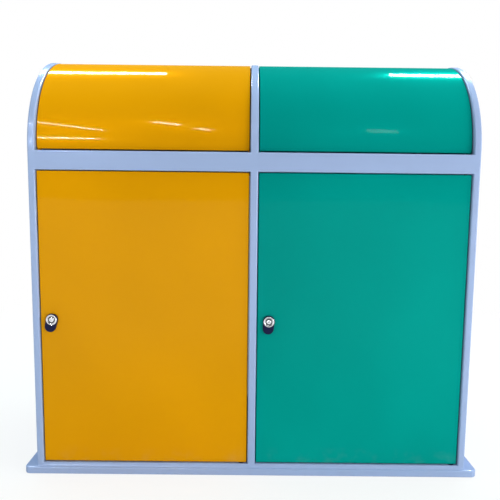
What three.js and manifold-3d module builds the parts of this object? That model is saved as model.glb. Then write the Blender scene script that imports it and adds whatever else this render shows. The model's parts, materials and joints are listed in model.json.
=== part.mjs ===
// Double recycling bin: two sheet-metal litter compartments side by side under a half-barrel roof.
// Each compartment has a flat lockable door below a crossbar, and above it a curved flap, hinged at
// the ridge, that litter is pushed in through. Millimetres, +Z up, the front faces -Y.
import * as THREE from 'three';
import { mergeVertices } from 'three/addons/utils/BufferGeometryUtils.js';
import Module from 'manifold-3d';

const wasm = await Module();
wasm.setup();

// Body
const bodyWidth = 1000;
const bodyDepth = 450;
const shoulderHeight = 750; // floor to where the roof's arch begins
const weldGap = 0.3; // between pieces that are welded, seated or riveted together
const arcSteps = 24; // straight facets in a quarter of the roof
const past = 1; // how far a cutting shape runs beyond the face it opens

// Base tray
const baseHeight = 17;
const baseSideOverhang = 28;
const baseFrontOverhang = 6.5;
const baseRearOverhang = 6.5;
const baseCornerRadius = 12;
const baseFoldRadius = 1; // corners of the opening in the rim
const baseSheet = 2;
const baseRimWidth = 22; // flange folded inward under the lip, which stands on the floor
const anchorHoleDiameter = 11;
const anchorInset = 60; // from the compartment's corner to the anchor hole

// Frame of bent tube
const outerTubeWidth = 15;
const mullionWidth = 17.5;
const tubeDepth = 20;
const tubeWall = 1.5;

// Crossbars and rails
const crossbarDrop = 4; // below the shoulder
const crossbarHeight = 42.5;
const crossbarSheet = 1.5;
const crossbarShelf = 25; // lower flange, which carries the door's upper hinge pin
const crossbarHem = 5.5; // upper flange
const railHeight = 8;
const railShelf = 24;
const rearCrossbarDepth = 20;

// Sheet panels
const panelSheet = 1.2;
const panelInset = 1; // side panels lie this far inside the tube's outer face
const backReturn = 12;

// Doors
const doorGap = 2;
const doorRecess = 5;
const doorSheet = 1.5;
const doorReturn = 15;
const hingeInset = 12; // from the door's edge to its hinge axis
const hingeSetback = 6; // from the door's face to its hinge axis
const hingePinDiameter = 8;
const hingePinReach = 6.5; // engaged in the frame, beyond the gap
const hingePinHold = 14; // inside the door
const hingeHoleClearance = 0.3;
const washerDiameter = 15;
const washerPlay = 0.3;
const stiffenerWidth = 44;
const stiffenerEndGap = 56; // from the door's flanges
const stiffenerDepth = 11;
const stiffenerFlange = 10;
const stopHeight = 60;
const stopReach = 9; // how far the stop stands out behind the door
const stopLap = 7; // welded to the tube's back
const stopDrop = 110; // from the lock down to the middle of the stop

// Locks
const lockInset = 26.5; // from the door's edge to the lock's axis
const lockHeight = 365.6;
const housingDiameter = 18;
const housingWall = 3;
const lockPlay = 0.1; // between the lock's plates, which lie on one another
const handleRadius = 13.4;
const handleTipRadius = 12.4;
const handleTipDrop = 16.8;
const handleThickness = 6.2;
const ringDiameter = 24.4;
const ringHeight = 1;
const plugDiameter = 11;
const plugRecess = 0.5;
const plugDepth = 3.5; // inside the handle
const keywayWidth = 2;
const keywayLength = 6;
const keywayDepth = 2.5;
const keywayTilt = 20; // degrees from level
const nutAcrossFlats = 25;
const nutThickness = 3.5;
const camThickness = 2.5;
const camWidth = 16;
const camOverlap = 5.5; // how far the cam reaches behind the tube

// Flaps
const flapSideGap = 2.5;
const flapBottomGap = 4;
const flapRecess = 12; // behind the tube's face at the bottom
const flapTopRecess = 1.5; // below the tube's face at the ridge
const flapSheet = 1.5;
const ribThickness = 3;
const ribTail = 26; // below the crossbar's top edge
const ribSetback = 16; // from the tube's face to the tail's front edge
const ribStep = 5; // height over which the rib steps forward to meet the skin
const rodDiameter = 10;
const rodClearance = 0.3;
const rodEndSteps = 16; // facets round the rib's end
const ribEndRadius = 10.7; // round the rod
const springLength = 46;
const springWire = 4;
const springOffset = 16; // from the rib to the spring
const bufferDiameter = 12;
const bufferRise = 8; // from the tail's end to the buffer's middle
const bufferSideGap = 1;

// Roof behind the ridge
const hoodRecess = 1;
const hoodSheet = 1.5;
const ridgeGap = 3; // between flap and hood
const ridgeBarSetback = 12.5;
const ridgeBarDepth = 20;
const ridgeBarHeight = 12;

// Liners
const linerSideGap = 12; // from the rim to the tubes
const linerFrontGap = 10.5; // from the rim to the cams behind the door
const linerRearGap = 6.5; // from the rim to the rear tubes
const linerHeadroom = 52; // from the rim to the swing of the flap's tail
const linerSheet = 1.2;
const linerRim = 8;
const linerTaper = 9; // each side, from rim to floor
const earWidth = 30;
const earRise = 15;
const bailDiameter = 6;
const bailBend = 22;
const bailHook = 3.4; // inner end of each arm, turned outwards through its ear
const bailBendSteps = 5;
const bailSides = 10;
const bailEarGap = 4; // between an ear and the bail's arm
const bailPinStandout = 3; // beyond the ear
const earHoleClearance = 0.5;
const smallRoundSides = 16; // facets of small holes and buffers
const ringSides = 32;
const flushCut = 0.001; // lets a cut open the very face that it ends on
const samePoint = 1e-4; // corners closer than this are one

// Places that follow from the sizes above
const roofRadius = bodyDepth / 2;
const ridgeHeight = shoulderHeight + roofRadius;
const frontFace = -bodyDepth / 2;
const crossbarTop = shoulderHeight - crossbarDrop;
const crossbarBottom = crossbarTop - crossbarHeight;
const railTop = baseHeight + railHeight;
const doorFace = frontFace + doorRecess;
const doorBottom = railTop + doorGap;
const doorTop = crossbarBottom - doorGap;
const hingeY = doorFace + hingeSetback;
const flapRadius = roofRadius - flapRecess;
const flapCentreZ = ridgeHeight - flapTopRecess - flapRadius;
const flapBottom = crossbarTop + flapBottomGap;
const rodHeight = flapCentreZ + flapRadius - flapSheet - weldGap - ribEndRadius;
const ribFace = frontFace + ribSetback;
const tailBottom = crossbarTop - ribTail;
const tailReach = Math.hypot(ribFace, rodHeight - tailBottom);
const camFace = frontFace + tubeDepth + weldGap;
const linerFront = camFace + camThickness + linerFrontGap + linerRim;
const linerRear = bodyDepth / 2 - tubeDepth - linerRearGap - linerRim;
const linerY = (linerFront + linerRear) / 2;
const linerDepth = linerRear - linerFront;
const linerFloor = baseHeight + weldGap;
const linerTop = rodHeight - tailReach - linerHeadroom;
const bailHeight = linerTop + weldGap + bailDiameter / 2;
const bailDrop = (linerDepth + linerRim) / 2; // from the ears to the crosspiece, which lies on the rim

const bays = [
  {
    side: 'left',
    from: -bodyWidth / 2 + outerTubeWidth,
    to: -mullionWidth / 2,
    colour: 0xdc9a10,
    flapColour: 0xe3a90c,
    handleLean: 13, // degrees, its tip to the left
  },
  {
    side: 'right',
    from: mullionWidth / 2,
    to: bodyWidth / 2 - outerTubeWidth,
    colour: 0x009a88,
    flapColour: 0x00a596,
    handleLean: 5,
  },
];

// Finishes
const frameColour = 0xa5b9da;
const paint = (color) => new THREE.MeshStandardMaterial({ color, roughness: 0.38, metalness: 0.1 });
const framePaint = paint(frameColour);
const galvanised = new THREE.MeshStandardMaterial({ color: 0xa9adb0, roughness: 0.45, metalness: 0.85 });
const chrome = new THREE.MeshStandardMaterial({ color: 0xd8dade, roughness: 0.12, metalness: 1 });
const steel = new THREE.MeshStandardMaterial({ color: 0x8f9296, roughness: 0.35, metalness: 0.9 });
const blackPlastic = new THREE.MeshStandardMaterial({ color: 0x14151a, roughness: 0.45, metalness: 0 });
const rubber = new THREE.MeshStandardMaterial({ color: 0x1b1b1b, roughness: 0.85, metalness: 0 });

// Solids
function toSolid(geometry) {
  const bare = geometry.clone();
  bare.deleteAttribute('normal');
  bare.deleteAttribute('uv');
  const merged = mergeVertices(bare, samePoint);
  return new wasm.Manifold(new wasm.Mesh({
    numProp: 3,
    vertProperties: new Float32Array(merged.attributes.position.array),
    triVerts: new Uint32Array(merged.index.array),
  }));
}

function toGeometry(solid) {
  const mesh = solid.getMesh();
  const geometry = new THREE.BufferGeometry();
  geometry.setAttribute('position', new THREE.BufferAttribute(mesh.vertProperties, 3));
  geometry.setIndex(new THREE.BufferAttribute(mesh.triVerts, 1));
  const flat = geometry.toNonIndexed();
  flat.computeVertexNormals();
  return flat;
}

const cut = (body, ...tools) => tools.reduce((rest, tool) => rest.subtract(tool), body);
const join = (first, ...others) => others.reduce((sum, other) => sum.add(other), first);

function box(x0, x1, y0, y1, z0, z1) {
  const geometry = new THREE.BoxGeometry(x1 - x0, y1 - y0, z1 - z0);
  geometry.translate((x0 + x1) / 2, (y0 + y1) / 2, (z0 + z1) / 2);
  return toSolid(geometry);
}

// A side view, drawn in Y and Z, extruded along X
function extrudeAcross(shape, x0, x1) {
  const geometry = new THREE.ExtrudeGeometry(shape, { depth: x1 - x0, bevelEnabled: false });
  geometry.translate(0, 0, x0);
  const toYZ = new THREE.Matrix4().makeBasis(
    new THREE.Vector3(0, 1, 0),
    new THREE.Vector3(0, 0, 1),
    new THREE.Vector3(1, 0, 0),
  );
  geometry.applyMatrix4(toYZ);
  return toSolid(geometry);
}

// A plan view, drawn in X and Y, extruded upwards
function extrudeUp(shape, z0, z1, curveSegments = 6) {
  const geometry = new THREE.ExtrudeGeometry(shape, { depth: z1 - z0, bevelEnabled: false, curveSegments });
  geometry.translate(0, 0, z0);
  return toSolid(geometry);
}

// A front view, drawn in X and Z, extruded towards +Y
function extrudeBack(shape, y0, y1, curveSegments = 10) {
  const geometry = new THREE.ExtrudeGeometry(shape, { depth: y1 - y0, bevelEnabled: false, curveSegments });
  geometry.rotateX(Math.PI / 2);
  geometry.translate(0, y1, 0);
  return toSolid(geometry);
}

const axes = { x: new THREE.Vector3(1, 0, 0), y: new THREE.Vector3(0, 1, 0), z: new THREE.Vector3(0, 0, 1) };

// A round bar from one place to another along an axis
function roundBar(axis, radius, from, to, [a, b], sides = 24) {
  const geometry = new THREE.CylinderGeometry(radius, radius, to - from, sides);
  geometry.applyQuaternion(new THREE.Quaternion().setFromUnitVectors(axes.y, axes[axis]));
  const middle = (from + to) / 2;
  const centre = { x: [middle, a, b], y: [a, middle, b], z: [a, b, middle] }[axis];
  geometry.translate(...centre);
  return toSolid(geometry);
}

function roundedRectangle(x0, x1, y0, y1, radius) {
  const shape = new THREE.Shape();
  shape.moveTo(x0 + radius, y0);
  shape.lineTo(x1 - radius, y0);
  shape.absarc(x1 - radius, y0 + radius, radius, -Math.PI / 2, 0);
  shape.lineTo(x1, y1 - radius);
  shape.absarc(x1 - radius, y1 - radius, radius, 0, Math.PI / 2);
  shape.lineTo(x0 + radius, y1);
  shape.absarc(x0 + radius, y1 - radius, radius, Math.PI / 2, Math.PI);
  shape.lineTo(x0, y0 + radius);
  shape.absarc(x0 + radius, y0 + radius, radius, Math.PI, 1.5 * Math.PI);
  return shape;
}

// Points of an arc in the side view; 0 degrees faces the front and 90 degrees faces up
function arcPoints(centreZ, radius, startDegrees, endDegrees) {
  const count = Math.max(2, Math.round(Math.abs(endDegrees - startDegrees) / 90 * arcSteps));
  return Array.from({ length: count + 1 }, (_, step) => {
    const angle = THREE.MathUtils.degToRad(startDegrees + (endDegrees - startDegrees) * step / count);
    return new THREE.Vector2(-radius * Math.cos(angle), centreZ + radius * Math.sin(angle));
  });
}

// The body's side view: an arch on straight sides, drawn inset from the outer face
function archOutline(inset, bottom) {
  const radius = roofRadius - inset;
  return new THREE.Shape([
    new THREE.Vector2(-radius, bottom),
    ...arcPoints(shoulderHeight, radius, 0, 180),
    new THREE.Vector2(radius, bottom),
  ]);
}

const model = new THREE.Group();

function addPiece(name, solid, material) {
  const mesh = new THREE.Mesh(toGeometry(solid), material);
  mesh.name = name;
  model.add(mesh);
}

// Base: a tray of folded sheet, open underneath, with anchor holes in each compartment's floor
function baseTray() {
  const x = bodyWidth / 2 + baseSideOverhang;
  const front = frontFace - baseFrontOverhang;
  const rear = bodyDepth / 2 + baseRearOverhang;
  const outline = (inset) => roundedRectangle(
    -x + inset, x - inset, front + inset, rear - inset, Math.max(baseCornerRadius - inset, baseFoldRadius),
  );
  const tray = extrudeUp(outline(0), 0, baseHeight);
  const inside = extrudeUp(outline(baseSheet), baseSheet, baseHeight - baseSheet);
  const underside = extrudeUp(outline(baseRimWidth), -past, baseSheet + past);
  const holes = bays.flatMap(({ from, to }) => [from + anchorInset, to - anchorInset].flatMap((holeX) => (
    [frontFace + anchorInset, bodyDepth / 2 - anchorInset].map((holeY) => roundBar(
      'z', anchorHoleDiameter / 2, baseHeight - baseSheet - past, baseHeight + past,
      [holeX, holeY], smallRoundSides,
    ))
  )));
  return cut(tray, inside, underside, ...holes);
}
addPiece('base_tray', baseTray(), framePaint);

// Frame: three tubes bent into an upside-down U, open at the feet
function hoop(x0, x1) {
  const foot = baseHeight + weldGap;
  const band = (inset) => cut(
    extrudeAcross(archOutline(inset, foot - (inset ? past : 0)), x0 + inset, x1 - inset),
    extrudeAcross(archOutline(tubeDepth - inset, foot - 2 * past), x0 - past, x1 + past),
  );
  return cut(band(0), band(tubeWall));
}
addPiece('hoop_left', hoop(-bodyWidth / 2, -bodyWidth / 2 + outerTubeWidth), framePaint);
addPiece('hoop_centre', hoop(-mullionWidth / 2, mullionWidth / 2), framePaint);
addPiece('hoop_right', hoop(bodyWidth / 2 - outerTubeWidth, bodyWidth / 2), framePaint);

// Flat sheets that fill the hoops: the two sides and the divider between the compartments
function archPanel(x) {
  const outline = archOutline(tubeDepth + weldGap, baseHeight + weldGap);
  return extrudeAcross(outline, x - panelSheet / 2, x + panelSheet / 2);
}
const sidePanelX = bodyWidth / 2 - panelInset - panelSheet / 2;
addPiece('side_panel_left', archPanel(-sidePanelX), framePaint);
addPiece('side_panel_right', archPanel(sidePanelX), framePaint);
addPiece('centre_divider', archPanel(0), framePaint);

// Front crossbar: a face with a narrow upper flange and a wide lower one, for the hinge pin
function crossbar(x0, x1, hingeX) {
  const bar = cut(
    box(x0, x1, frontFace, frontFace + crossbarShelf, crossbarBottom, crossbarTop),
    box(
      x0 - past, x1 + past, frontFace + crossbarSheet, frontFace + crossbarShelf + past,
      crossbarBottom + crossbarSheet, crossbarTop - crossbarSheet,
    ),
    box(
      x0 - past, x1 + past, frontFace + crossbarHem, frontFace + crossbarShelf + past,
      crossbarTop - crossbarSheet - past, crossbarTop + past,
    ),
  );
  const hole = roundBar(
    'z', hingePinDiameter / 2 + hingeHoleClearance, crossbarBottom - past,
    crossbarBottom + crossbarSheet + past, [hingeX, hingeY],
  );
  return bar.subtract(hole);
}

// Bottom rail: an angle whose shelf carries the lower hinge pin
function bottomRail(x0, x1, hingeX) {
  const bottom = baseHeight + weldGap;
  const rail = cut(
    box(x0, x1, frontFace, frontFace + railShelf, bottom, railTop),
    box(
      x0 - past, x1 + past, frontFace + tubeWall, frontFace + railShelf + past,
      bottom - past, railTop - tubeWall,
    ),
  );
  const hole = roundBar(
    'z', hingePinDiameter / 2 + hingeHoleClearance, bottom - past, railTop + past, [hingeX, hingeY],
  );
  return rail.subtract(hole);
}

// Rear crossbar: a channel that opens inwards
function rearCrossbar(x0, x1) {
  const rear = bodyDepth / 2;
  return cut(
    box(x0, x1, rear - rearCrossbarDepth, rear, crossbarBottom, crossbarTop),
    box(
      x0 - past, x1 + past, rear - rearCrossbarDepth - past, rear - crossbarSheet,
      crossbarBottom + crossbarSheet, crossbarTop - crossbarSheet,
    ),
  );
}

// Back panel: a shallow pan between the rear tubes
function backPanel(x0, x1) {
  const rear = bodyDepth / 2 - panelInset;
  const bottom = baseHeight + weldGap;
  const top = crossbarBottom - weldGap;
  return cut(
    box(x0, x1, rear - backReturn, rear, bottom, top),
    box(
      x0 + panelSheet, x1 - panelSheet, rear - backReturn - past, rear - panelSheet,
      bottom + panelSheet, top - panelSheet,
    ),
  );
}

// Rear hood: the fixed half of the roof, rolled to the arch
function rearHood(x0, x1) {
  const outer = roofRadius - hoodRecess;
  const inner = outer - hoodSheet;
  const startDegrees = 90 + THREE.MathUtils.radToDeg(Math.asin(ridgeGap / outer));
  const foot = crossbarTop + weldGap;
  const outline = new THREE.Shape([
    ...arcPoints(shoulderHeight, outer, startDegrees, 180),
    new THREE.Vector2(outer, foot),
    new THREE.Vector2(inner, foot),
    ...arcPoints(shoulderHeight, inner, 180, startDegrees),
  ]);
  return extrudeAcross(outline, x0, x1);
}

// Ridge bar: a tube under the hood's front edge
function ridgeBar(x0, x1) {
  const y0 = ridgeBarSetback;
  const y1 = y0 + ridgeBarDepth;
  const hoodInside = roofRadius - hoodRecess - hoodSheet;
  const z1 = shoulderHeight + Math.sqrt(hoodInside ** 2 - y1 ** 2) - weldGap;
  const z0 = z1 - ridgeBarHeight;
  return cut(
    box(x0, x1, y0, y1, z0, z1),
    box(x0 - past, x1 + past, y0 + tubeWall, y1 - tubeWall, z0 + tubeWall, z1 - tubeWall),
  );
}

// Door: a pan of folded sheet with holes for the lock and the hinge pins
function doorPan(x0, x1, hingeX, lockX) {
  const back = doorFace + doorReturn;
  const pan = cut(
    box(x0, x1, doorFace, back, doorBottom, doorTop),
    box(
      x0 + doorSheet, x1 - doorSheet, doorFace + doorSheet, back + past,
      doorBottom + doorSheet, doorTop - doorSheet,
    ),
  );
  const lockHole = roundBar(
    'y', housingDiameter / 2 + weldGap, doorFace - past, doorFace + doorSheet + past, [lockX, lockHeight],
  );
  const pinHole = roundBar(
    'z', hingePinDiameter / 2 + weldGap, doorBottom - past, doorTop + past, [hingeX, hingeY],
  );
  return cut(pan, lockHole, pinHole);
}

// Door stiffener: a hat section welded upright inside the pan
function doorStiffener(middleX) {
  const y0 = doorFace + doorSheet + weldGap;
  const y1 = y0 + stiffenerDepth;
  const z0 = doorBottom + stiffenerEndGap;
  const z1 = doorTop - stiffenerEndGap;
  const crown = stiffenerWidth / 2 - stiffenerFlange;
  const half = stiffenerWidth / 2;
  return cut(
    box(middleX - half, middleX + half, y0, y1, z0, z1),
    box(middleX - half - past, middleX - crown, y0 + doorSheet, y1 + past, z0 - past, z1 + past),
    box(middleX + crown, middleX + half + past, y0 + doorSheet, y1 + past, z0 - past, z1 + past),
    box(
      middleX - crown + doorSheet, middleX + crown - doorSheet, y0 - past, y1 - doorSheet,
      z0 - past, z1 + past,
    ),
  );
}

// Hinge pins: each is held in the door's flange and turns in the frame
function hingePin(hingeX, flange, towardsFrame) {
  const tip = flange + towardsFrame * (doorGap + hingePinReach);
  const root = flange - towardsFrame * hingePinHold;
  return roundBar('z', hingePinDiameter / 2, Math.min(tip, root), Math.max(tip, root), [hingeX, hingeY]);
}

function hingeWasher(hingeX) {
  const at = [hingeX, hingeY];
  const bottom = railTop + washerPlay;
  const top = doorBottom - weldGap;
  return cut(
    roundBar('z', washerDiameter / 2, bottom, top, at),
    roundBar('z', hingePinDiameter / 2 + weldGap, bottom - past, top + past, at),
  );
}

// Door stop: a flat welded to the tube's back, which reaches behind the door's edge
function doorStop(tubeX) {
  const y0 = doorFace + doorReturn + weldGap;
  const z1 = lockHeight - stopDrop + stopHeight / 2;
  const z0 = z1 - stopHeight;
  return box(tubeX - stopLap, tubeX + doorGap + stopReach, y0, y0 + doorSheet, z0, z1);
}

// A piece of the lock turned about the lock's axis, clockwise seen from the front
function turnLock(solid, lockX, degrees) {
  return solid.translate([-lockX, 0, -lockHeight]).rotate([0, degrees, 0]).translate([lockX, 0, lockHeight]);
}

// Lock: a round housing through the door, with a handle, a key cylinder and a cam
const handleBack = doorFace - weldGap;
const handleFront = handleBack - handleThickness;
const nutFace = doorFace + doorSheet + weldGap;

function lockHousing(lockX) {
  const at = [lockX, lockHeight];
  const barrelEnd = camFace - weldGap;
  const nutRadius = nutAcrossFlats / Math.sqrt(3);
  const nut = new THREE.CylinderGeometry(nutRadius, nutRadius, nutThickness, 6);
  nut.translate(lockX, nutFace + nutThickness / 2, lockHeight);
  return cut(
    join(roundBar('y', housingDiameter / 2, doorFace - lockPlay, barrelEnd, at), toSolid(nut)),
    roundBar('y', housingDiameter / 2 - housingWall, doorFace - past, barrelEnd + past, at),
  );
}

function lockHandle(lockX, handleLean) {
  const outline = new THREE.Shape();
  const taper = Math.asin((handleRadius - handleTipRadius) / handleTipDrop);
  outline.absarc(lockX, lockHeight, handleRadius, -taper, Math.PI + taper);
  outline.absarc(lockX, lockHeight - handleTipDrop, handleTipRadius, Math.PI + taper, 2 * Math.PI - taper);
  const at = [lockX, lockHeight];
  const spindleRadius = housingDiameter / 2 - housingWall - weldGap;
  const spindle = roundBar('y', spindleRadius, handleBack - past, camFace - lockPlay, at);
  return cut(
    join(turnLock(extrudeBack(outline, handleFront, handleBack), lockX, handleLean), spindle),
    roundBar('y', plugDiameter / 2 + weldGap, handleFront - past, handleFront + plugDepth + past, at),
  );
}

function lockRing(lockX) {
  const front = handleFront - ringHeight;
  const at = [lockX, lockHeight];
  return cut(
    roundBar('y', ringDiameter / 2, front, handleFront - weldGap, at, ringSides),
    roundBar('y', plugDiameter / 2 + weldGap, front - past, handleFront + past, at),
  );
}

function keyPlug(lockX) {
  const front = handleFront - ringHeight + plugRecess;
  const plug = roundBar('y', plugDiameter / 2, front, handleFront + plugDepth, [lockX, lockHeight]);
  const keyway = box(
    lockX - keywayLength / 2, lockX + keywayLength / 2, front - past, front + keywayDepth,
    lockHeight - keywayWidth / 2, lockHeight + keywayWidth / 2,
  );
  return plug.subtract(turnLock(keyway, lockX, -keywayTilt));
}

// The cam points up while the handle hangs; a quarter turn puts its end behind the tube
function lockCam(lockX) {
  const reach = lockInset + doorGap + camOverlap;
  const outline = new THREE.Shape();
  const half = camWidth / 2;
  outline.moveTo(lockX + half, lockHeight + reach);
  outline.lineTo(lockX - half, lockHeight + reach);
  outline.lineTo(lockX - half, lockHeight);
  outline.absarc(lockX, lockHeight, half, Math.PI, 2 * Math.PI);
  return extrudeBack(outline, camFace, camFace + camThickness);
}

// A flap's curve from the ridge down to its foot, which is upright below the arc's middle
function flapCurve(radius, foot) {
  const rise = foot - flapCentreZ;
  const upright = rise < 0 ? [new THREE.Vector2(-radius, foot)] : [];
  const startDegrees = rise < 0 ? 0 : THREE.MathUtils.radToDeg(Math.asin(rise / radius));
  return [...upright, ...arcPoints(flapCentreZ, radius, startDegrees, 90)];
}

// Flap: rolled sheet between the tubes, with a short straight foot above the crossbar
function flapSkin(x0, x1) {
  const inner = flapRadius - flapSheet;
  const outline = new THREE.Shape([
    ...flapCurve(flapRadius, flapBottom),
    ...flapCurve(inner, flapBottom).reverse(),
  ]);
  return extrudeAcross(outline, x0, x1);
}

// Flap rib: a curved end plate that turns on the rod; its tail meets the buffer behind the crossbar
function flapRib(x0) {
  const outer = flapRadius - flapSheet - weldGap;
  const inner = rodHeight - ribEndRadius - flapCentreZ;
  const end = new THREE.Path();
  end.absarc(0, rodHeight, ribEndRadius, Math.PI / 2, -Math.PI / 2, true);
  const outline = new THREE.Shape([
    new THREE.Vector2(ribFace, tailBottom),
    new THREE.Vector2(ribFace, flapBottom),
    ...flapCurve(outer, flapBottom + ribStep),
    ...end.getPoints(rodEndSteps).slice(1, -1),
    ...flapCurve(inner, tailBottom).reverse(),
  ]);
  const plate = extrudeAcross(outline, x0, x0 + ribThickness);
  const holeRadius = rodDiameter / 2 + rodClearance;
  return plate.subtract(roundBar('x', holeRadius, x0 - past, x0 + ribThickness + past, [0, rodHeight]));
}

// Torsion spring that shuts the flap: its coils close up into a sleeve round the rod
function flapSpring(x0) {
  const at = [0, rodHeight];
  const bore = rodDiameter / 2 + rodClearance;
  return cut(
    roundBar('x', bore + springWire, x0, x0 + springLength, at),
    roundBar('x', bore, x0 - past, x0 + springLength + past, at),
  );
}

function flapBuffer(x) {
  const front = frontFace + crossbarSheet + weldGap;
  const back = ribFace - weldGap;
  return roundBar('y', bufferDiameter / 2, front, back, [x, tailBottom + bufferRise], smallRoundSides);
}

// Liner: a tapered sheet bucket with a turned-out rim and an ear at each side for its bail
function linerShell(halfWidth, halfDepth, floor, top, middleX) {
  const geometry = new THREE.BoxGeometry(2, 2, top - floor);
  const points = geometry.attributes.position;
  for (let index = 0; index < points.count; index += 1) {
    const inset = points.getZ(index) < 0 ? linerTaper : 0;
    points.setX(index, points.getX(index) * (halfWidth - inset));
    points.setY(index, points.getY(index) * (halfDepth - inset));
  }
  geometry.translate(middleX, linerY, (floor + top) / 2);
  return toSolid(geometry);
}

function liner(middleX, linerWidth) {
  const halfWidth = linerWidth / 2;
  const halfDepth = linerDepth / 2;
  const earHole = roundBar(
    'x', bailDiameter / 2 + earHoleClearance, middleX - halfWidth - past, middleX + halfWidth + past,
    [linerY, bailHeight], smallRoundSides,
  );
  const ears = [-1, 1].map((side) => {
    const outer = middleX + side * halfWidth;
    const inner = outer - side * linerSheet;
    return box(
      Math.min(outer, inner), Math.max(outer, inner),
      linerY - earWidth / 2, linerY + earWidth / 2, linerTop - linerSheet, linerTop + earRise,
    );
  });
  const rim = box(
    middleX - halfWidth - linerRim, middleX + halfWidth + linerRim,
    linerY - halfDepth - linerRim, linerY + halfDepth + linerRim, linerTop - linerSheet, linerTop,
  );
  const inside = linerShell(
    halfWidth - linerSheet, halfDepth - linerSheet, linerFloor + linerSheet, linerTop + flushCut, middleX,
  );
  const shell = linerShell(halfWidth, halfDepth, linerFloor, linerTop, middleX);
  return cut(join(cut(join(shell, rim), inside), ...ears), earHole);
}

// A round wire along level points, mitred at each of them
function levelWire(points, radius, sides) {
  const last = points.length - 1;
  const corners = [];
  points.forEach((point, index) => {
    const before = points[Math.max(index - 1, 0)];
    const after = points[Math.min(index + 1, last)];
    const arriving = (index ? point.clone().sub(before) : after.clone().sub(point)).normalize();
    const leaving = (index < last ? after.clone().sub(point) : arriving.clone()).normalize();
    const along = arriving.add(leaving).normalize();
    const across = axes.z.clone().cross(along).multiplyScalar(radius / along.dot(leaving));
    for (let turn = 0; turn < sides; turn += 1) {
      const angle = 2 * Math.PI * turn / sides;
      const corner = point.clone().addScaledVector(across, Math.cos(angle));
      corners.push(...corner.addScaledVector(axes.z, radius * Math.sin(angle)));
    }
  });
  corners.push(...points[0], ...points[last]);
  const firstCentre = points.length * sides;
  const faces = [];
  for (let turn = 0; turn < sides; turn += 1) {
    const next = (turn + 1) % sides;
    const end = last * sides;
    faces.push(firstCentre, next, turn, firstCentre + 1, end + turn, end + next);
    for (let ring = 0; ring < last; ring += 1) {
      const here = ring * sides;
      const there = here + sides;
      faces.push(here + turn, here + next, there + next, here + turn, there + next, there + turn);
    }
  }
  const geometry = new THREE.BufferGeometry();
  geometry.setAttribute('position', new THREE.Float32BufferAttribute(corners, 3));
  geometry.setIndex(faces);
  return toSolid(geometry);
}

// Bail: a bent wire whose ends turn outwards through the ears
function bail(middleX, linerWidth) {
  const arm = linerWidth / 2 - linerSheet - bailEarGap - bailDiameter / 2;
  const pinEnd = linerWidth / 2 + bailPinStandout;
  const turns = Array.from({ length: bailBendSteps + 1 }, (_, step) => 90 * step / bailBendSteps);
  const bend = (radius, startDegrees, centreX, centreY) => turns.map((turn) => {
    const angle = THREE.MathUtils.degToRad(startDegrees + turn);
    return [centreX + radius * Math.cos(angle), centreY + radius * Math.sin(angle)];
  });
  const half = [
    ...bend(bailBend, 0, arm - bailBend, linerY + bailDrop - bailBend).reverse(),
    ...bend(bailHook, 180, arm + bailHook, linerY + bailHook),
    [pinEnd, linerY],
  ];
  const mirrored = half.map(([x, y]) => [-x, y]).reverse();
  const points = [...mirrored, ...half].map(([x, y]) => new THREE.Vector3(middleX + x, y, bailHeight));
  return levelWire(points, bailDiameter / 2, bailSides);
}

for (const { side, from, to, colour, flapColour, handleLean } of bays) {
  const x0 = from + weldGap;
  const x1 = to - weldGap;
  const doorLeft = from + doorGap;
  const doorRight = to - doorGap;
  const hingeX = doorRight - hingeInset;
  const lockX = doorLeft + lockInset;
  const middleX = (from + to) / 2;
  const doorPaint = paint(colour);
  const flapPaint = paint(flapColour);

  addPiece(`crossbar_${side}`, crossbar(x0, x1, hingeX), framePaint);
  addPiece(`bottom_rail_${side}`, bottomRail(x0, x1, hingeX), framePaint);
  addPiece(`rear_crossbar_${side}`, rearCrossbar(x0, x1), framePaint);
  addPiece(`back_panel_${side}`, backPanel(x0, x1), framePaint);
  addPiece(`rear_hood_${side}`, rearHood(x0, x1), framePaint);
  addPiece(`ridge_bar_${side}`, ridgeBar(x0, x1), framePaint);
  addPiece(`door_stop_${side}`, doorStop(from), framePaint);

  addPiece(`door_${side}`, doorPan(doorLeft, doorRight, hingeX, lockX), doorPaint);
  addPiece(`door_stiffener_${side}`, doorStiffener(middleX), doorPaint);
  addPiece(`hinge_pin_upper_${side}`, hingePin(hingeX, doorTop, 1), steel);
  addPiece(`hinge_pin_lower_${side}`, hingePin(hingeX, doorBottom, -1), steel);
  addPiece(`hinge_washer_${side}`, hingeWasher(hingeX), blackPlastic);

  addPiece(`lock_housing_${side}`, lockHousing(lockX), steel);
  addPiece(`lock_handle_${side}`, lockHandle(lockX, handleLean), blackPlastic);
  addPiece(`lock_ring_${side}`, lockRing(lockX), chrome);
  addPiece(`key_plug_${side}`, keyPlug(lockX), chrome);
  addPiece(`lock_cam_${side}`, lockCam(lockX), steel);

  const flapLeft = from + flapSideGap;
  const flapRight = to - flapSideGap;
  addPiece(`flap_${side}`, flapSkin(flapLeft, flapRight), flapPaint);
  addPiece(`flap_rib_outer_${side}`, flapRib(flapLeft), flapPaint);
  addPiece(`flap_rib_inner_${side}`, flapRib(flapRight - ribThickness), flapPaint);
  addPiece(`flap_rod_${side}`, roundBar('x', rodDiameter / 2, x0, x1, [0, rodHeight]), steel);
  addPiece(`flap_spring_${side}`, flapSpring(flapLeft + ribThickness + springOffset), steel);
  const bufferInset = bufferDiameter / 2 + bufferSideGap;
  addPiece(`flap_buffer_outer_${side}`, flapBuffer(from + bufferInset), rubber);
  addPiece(`flap_buffer_inner_${side}`, flapBuffer(to - bufferInset), rubber);

  const linerWidth = to - from - 2 * (linerSideGap + linerRim);
  addPiece(`liner_${side}`, liner(middleX, linerWidth), galvanised);
  addPiece(`bail_${side}`, bail(middleX, linerWidth), steel);
}

export default model;
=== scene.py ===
import json
import math

import bmesh
import bpy
from mathutils import Matrix, Vector


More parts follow.
